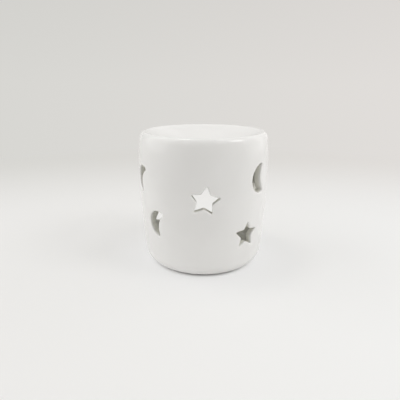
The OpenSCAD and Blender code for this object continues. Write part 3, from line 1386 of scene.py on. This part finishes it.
@dataclass
class Tealight:
    """The candle: a pressed cup with a rolled rim and fluted side, its wax, and a braided wick.

    wax_climb and wick_climb are the wax's rise at the cup and at the wick, and the distance in
    which it falls off. wick_section is the wick's width and depth as shares of its own, and
    wick_aim is where it leans, to the right and to the back.
    """

    base: float = 4.5
    cup_height: float = 16.0
    cup_reach: float = 18.65
    cup_inner: float = 18.15
    bead_radius: float = 0.6
    edge_radius: float = 1.5
    underside: tuple[tuple[float, float], ...] = (
        (0.0, 0.0), (6.0, 0.0), (11.5, 0.0), (12.3, 0.25), (16.0, 0.25), (16.5, 0.05), (16.9, 0.0))
    flutes: int = 60
    flute_depth: float = 0.1
    wax_low: float = 5.0
    wax_top: float = 18.0
    wax_climb: tuple[float, float] = (0.55, 0.6)
    wick_climb: tuple[float, float] = (0.5, 0.5)
    wax_sag: float = 0.08
    cup_polish: float = 0.24
    tab_polish: float = 0.34
    wick_radius: float = 0.9
    wick_low: float = 5.4
    wick_top: float = 25.0
    wick_lean: float = 0.9
    wick_end: float = 0.7
    braid_twist: float = 1.15
    braid_furrow: float = 0.3
    wick_section: tuple[float, float] = (1.05, 0.85)
    wick_aim: tuple[float, float] = (0.6, -0.4)
    wick_grid: tuple[int, int] = (96, 48)
    columns: int = 360
    wax_columns: int = 180

    def cup(self) -> bpy.types.Object:
        """Turns the cup's section and presses flutes into its side.

        The section goes from the middle of the underside round the lower edge, up the side, over
        the rolled bead and down inside. On the side the radius loses a depth times a cosine of the
        flutes, which fades out towards the lower edge and the bead.

        Returns:
            The cup's object.
        """
        edge, bead = self.edge_radius, self.bead_radius
        centre = (self.cup_reach - edge, self.base + edge)
        sheet = self.cup_reach - self.cup_inner
        top = (self.cup_inner + sheet / 2.0, self.base + self.cup_height - bead)
        under = np.array(self.underside) + [0.0, self.base]
        turn = arc(centre, edge, -80.0, 0.0, 6)
        side = paired(self.cup_reach, np.linspace(centre[1] + 0.4, top[1] - 1.0, 14))
        roll = arc(top, bead, -62.0, 240.0, 16)
        inside = paired(self.cup_inner, np.linspace(top[1] - 0.9, self.wax_low + 1.0, 9))
        floor = np.array([
            [self.cup_inner - 0.4, self.wax_low + 0.3], [self.cup_inner - 1.2, self.wax_low],
            [9.0, self.wax_low], [0.0, self.wax_low]])
        profile = np.concatenate([under, turn, side, roll, inside, floor])
        grid = turned(profile, self.columns)
        fade = np.clip((profile[:, 1] - centre[1] + 1.0) / 2.0, 0.0, 1.0)
        fade *= np.clip((top[1] - 1.2 - profile[:, 1]) / 2.0, 0.0, 1.0)
        fade *= profile[:, 0] > self.cup_inner - 0.1
        phase = np.arange(self.columns) * (2.0 * math.pi * self.flutes / self.columns)
        wave = 0.5 - 0.5 * np.cos(phase)
        shrink = 1.0 - self.flute_depth * fade[:, None] * wave / np.maximum(profile[:, :1], 1e-9)
        grid[..., :2] *= shrink[..., None]
        quilt = Quilt()
        quilt.add(grid)
        return quilt.sew("pressed_cup")

    def wax(self) -> bpy.types.Object:
        """Turns the wax, which climbs a little at the cup and at the wick.

        Its top stands at the fill line plus a rise that falls off with the distance from the cup,
        plus one that falls off from the wick, plus a slow wave as it sets.

        Returns:
            The wax's object.
        """
        reach = self.cup_inner - 0.02
        radius = np.concatenate([
            np.linspace(reach, reach - 2.4, 8), np.linspace(reach - 3.6, 2.6, 10),
            np.linspace(2.2, 0.7, 7), [0.0]])
        rise, fall = self.wax_climb
        level = self.wax_top + rise * np.exp((radius - reach) / fall)
        rise, fall = self.wick_climb
        level += rise * np.exp((self.wick_radius - radius) / fall).clip(0, 1)
        low = self.wax_low + 0.01
        lower = np.array([[0.0, low], [16.4, low], [reach, self.wax_low + 1.2]])
        profile = np.concatenate([lower, paired(radius, level)])
        grid = turned(profile, self.wax_columns)
        sag = self.wax_sag * np.sin(grid[..., 0] * 0.35 + 0.6) * np.cos(grid[..., 1] * 0.31 - 0.4)
        on_top = (profile[:, 1] > self.wax_top - 0.1)[:, None] & (profile[:, :1] < reach - 1.0)
        grid[..., 2] += sag * on_top * np.clip(profile[:, :1] / 3.0, 0.0, 1.0)
        quilt = Quilt()
        quilt.add(grid)
        return quilt.sew("wax_fill")

    def wick(self) -> bpy.types.Object:
        """Carries the section of a braid up a leaning line.

        The radius is the wick's own less a furrow where no strand lies: two sets of three strands
        wind in opposite ways, and the higher of the two is on top. The line leans as the square of
        the height above the wax, and the top closes in a blunt end.

        Returns:
            The wick's object, with the furrows as its trait.
        """
        rows, columns = self.wick_grid
        share = np.linspace(0.0, 1.0, rows)[:, None]
        level = self.wick_low + (self.wick_top - self.wick_low) * share
        angle = np.arange(columns) * (2.0 * math.pi / columns)
        twist = level * self.braid_twist
        one = np.cos(3.0 * (angle + twist / 3.0))
        other = np.cos(3.0 * (angle - twist / 3.0) + 1.0)
        furrow = np.clip(0.5 - 0.5 * np.maximum(one, other), 0.0, 1.0) ** 0.8
        blunt = np.clip((level - self.wick_top + self.wick_end) / self.wick_end, 0.0, 1.0)
        close = np.where(share == 0.0, 0.0, np.sqrt(np.clip(1.0 - blunt ** 2, 0.0, 1.0)))
        radius = self.wick_radius * (1.0 - self.braid_furrow * furrow) * close
        rise = np.clip((level - self.wax_top) / (self.wick_top - self.wax_top), 0.0, 1.0)
        lean = self.wick_lean * rise ** 2
        wide, deep = self.wick_section
        grid = np.stack([radius * np.sin(angle) * wide + lean * self.wick_aim[0],
                         -radius * np.cos(angle) * deep + lean * self.wick_aim[1],
                         np.broadcast_to(level, radius.shape)], axis=-1)
        quilt = Quilt(("furrow",))
        quilt.add(grid, furrow[..., None])
        return quilt.sew("braided_wick")

    def dress(self) -> list[bpy.types.Object]:
        """Builds the pieces, finishes them and puts them in the places of their CAD nodes.

        Returns:
            The pieces.
        """
        metal = PressedAluminium()
        pieces = []
        pressed = metal.make("pressed_aluminium", self.cup_polish)
        for piece, node, slot, material in (
                (self.cup(), "tealight_cup", Slot.CUP_METAL, pressed),
                (self.wax(), "tealight_wax", Slot.WAX, PaleWax().make()),
                (self.wick(), "wick", Slot.WICK_COTTON, WaxedCotton().make())):
            piece.data.materials.append(material)
            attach(piece, Body.TEALIGHT.value)
            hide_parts(node)
            pieces.append(piece)
        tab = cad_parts["wick_tab"]
        tab.data.materials.clear()
        tab.data.materials.append(metal.make("stamped_tab", self.tab_polish))
        return pieces + [tab]


# ---------------------------------------- studio


@dataclass(frozen=True)
class SoftBox:
    """A lamp with a large square face."""

    name: str
    place: Place
    size: float
    power: float

    def hang(self, target: Vector) -> None:
        """Makes the lamp and turns it to a point.

        Args:
            target: the point it faces.
        """
        data = bpy.data.lights.new(self.name, "AREA")
        data.shape, data.size, data.energy = "SQUARE", self.size, self.power
        lamp = bpy.data.objects.new(self.name, data)
        lamp.location = self.place
        lamp.rotation_euler = (target - lamp.location).to_track_quat("-Z", "Y").to_euler()
        bpy.context.scene.collection.objects.link(lamp)


@dataclass
class Studio:
    """Paper floor, soft lamps, pale surroundings and the camera."""

    floor_reach: float = 6000.0
    surround: float = 0.55
    surround_tint: tuple[float, ...] = (1.0, 0.985, 0.95, 1.0)
    # backdrop_top and backdrop_rise: painted shade, the backdrop dims upwards to this strength
    backdrop_top: float = 0.95
    backdrop_rise: float = 0.19
    lamp_target: Place = (0.0, 0.0, 0.04)
    focal: float = 33.3
    sensor: float = 36.0
    camera_place: Place = (-2.2, -228.77, 109.36)
    camera_drop: float = 17.50
    camera_range: tuple[float, float] = (0.01, 30.0)
    lamps: tuple[SoftBox, ...] = (
        SoftBox("key_box", (0.58, -0.26, 0.60), 0.28, 1.2),
        SoftBox("top_right_box", (0.33, -0.15, 0.88), 0.22, 0.45),
        SoftBox("top_left_box", (-0.27, 0.03, 0.92), 0.22, 0.95),
        SoftBox("right_box", (0.75, 0.10, 0.35), 0.8, 1.2),
        SoftBox("right_front_box", (0.70, -0.24, 0.42), 0.5, 0.2),
        SoftBox("left_box", (-0.70, 0.00, 0.40), 0.8, 2.15),
        SoftBox("left_front_box", (-0.60, -0.45, 0.30), 0.45, 0.15),
        SoftBox("left_high_box", (-0.36, -0.54, 0.60), 0.09, 0.10),
        SoftBox("right_high_box", (0.34, -0.56, 0.60), 0.10, 0.09),
        SoftBox("left_rear_box", (-0.55, 0.50, 0.35), 0.9, 0.2),
        SoftBox("right_rear_box", (0.55, 0.50, 0.35), 0.9, 0.45),
    )

    def floor(self) -> None:
        """Lays a flat square of paper under the object."""
        reach = self.floor_reach * MM
        mesh = bpy.data.meshes.new("paper")
        ends = ((-1.0, -1.0), (1.0, -1.0), (1.0, 1.0), (-1.0, 1.0))
        corners = [(x * reach, y * reach, 0.0) for x, y in ends]
        mesh.from_pydata(corners, [], [(0, 1, 2, 3)])
        paper = bpy.data.objects.new("paper", mesh)
        bpy.context.scene.collection.objects.link(paper)
        mesh.materials.append(PaperFloor().make())

    def light(self) -> None:
        """Hangs the lamps and sets the surroundings, which sight lines meet as the backdrop."""
        for lamp in self.lamps:
            lamp.hang(Vector(self.lamp_target))
        world = bpy.data.worlds.new("studio")
        world.use_nodes = True
        world.node_tree.nodes.clear()
        desk = Desk(world.node_tree)
        heading = desk.split(desk.node("ShaderNodeTexCoord").outputs["Generated"])
        # Painted shade: the backdrop takes the paper's far tones, darker on the left, and dims
        # upwards.
        side = desk.spread(heading["X"], 0.0, 1.0, -PaperFloor.sides, PaperFloor.sides)
        tone = desk.mix_colour(side, *PaperFloor.far)
        lit = desk.node("ShaderNodeBackground", Color=self.surround_tint, Strength=self.surround)
        seen = desk.node("ShaderNodeBackground")
        desk.link(tone, seen.inputs["Color"])
        strength = desk.spread(heading["Z"], 1.0, self.backdrop_top, 0.0, self.backdrop_rise)
        desk.link(strength, seen.inputs["Strength"])
        mixed = desk.mix_shader(desk.seen(), lit.outputs["Background"], seen.outputs["Background"])
        desk.link(mixed, desk.node("ShaderNodeOutputWorld").inputs["Surface"])
        bpy.context.scene.world = world

    def camera(self) -> None:
        """Stands the camera where the photograph was taken from, looking along +Y and down."""
        data = bpy.data.cameras.new("view")
        data.sensor_fit, data.sensor_width, data.lens = "HORIZONTAL", self.sensor, self.focal
        data.clip_start, data.clip_end = self.camera_range
        view = bpy.data.objects.new("view", data)
        view.location = metres(self.camera_place)
        view.rotation_euler = (math.radians(90.0 - self.camera_drop), 0.0, 0.0)
        bpy.context.scene.collection.objects.link(view)
        bpy.context.scene.camera = view

    def set_up(self) -> None:
        """Builds the whole studio."""
        bpy.context.scene.view_settings.view_transform = "Standard"
        self.camera()
        self.floor()
        self.light()


def main() -> None:
    """Builds the studio, the shell and the tealight, and reports each piece."""
    logging.basicConfig(level=logging.INFO, format="%(name)s: %(message)s")
    Studio().set_up()
    shell = GlazedShell()
    pieces = [shell.dress(shell.build(), WhiteGlaze())]
    pieces += Tealight().dress()
    for piece in pieces:
        LOG.info("%s: %d faces", piece.name, len(piece.data.polygons))


if __name__ == "__main__":
    main()
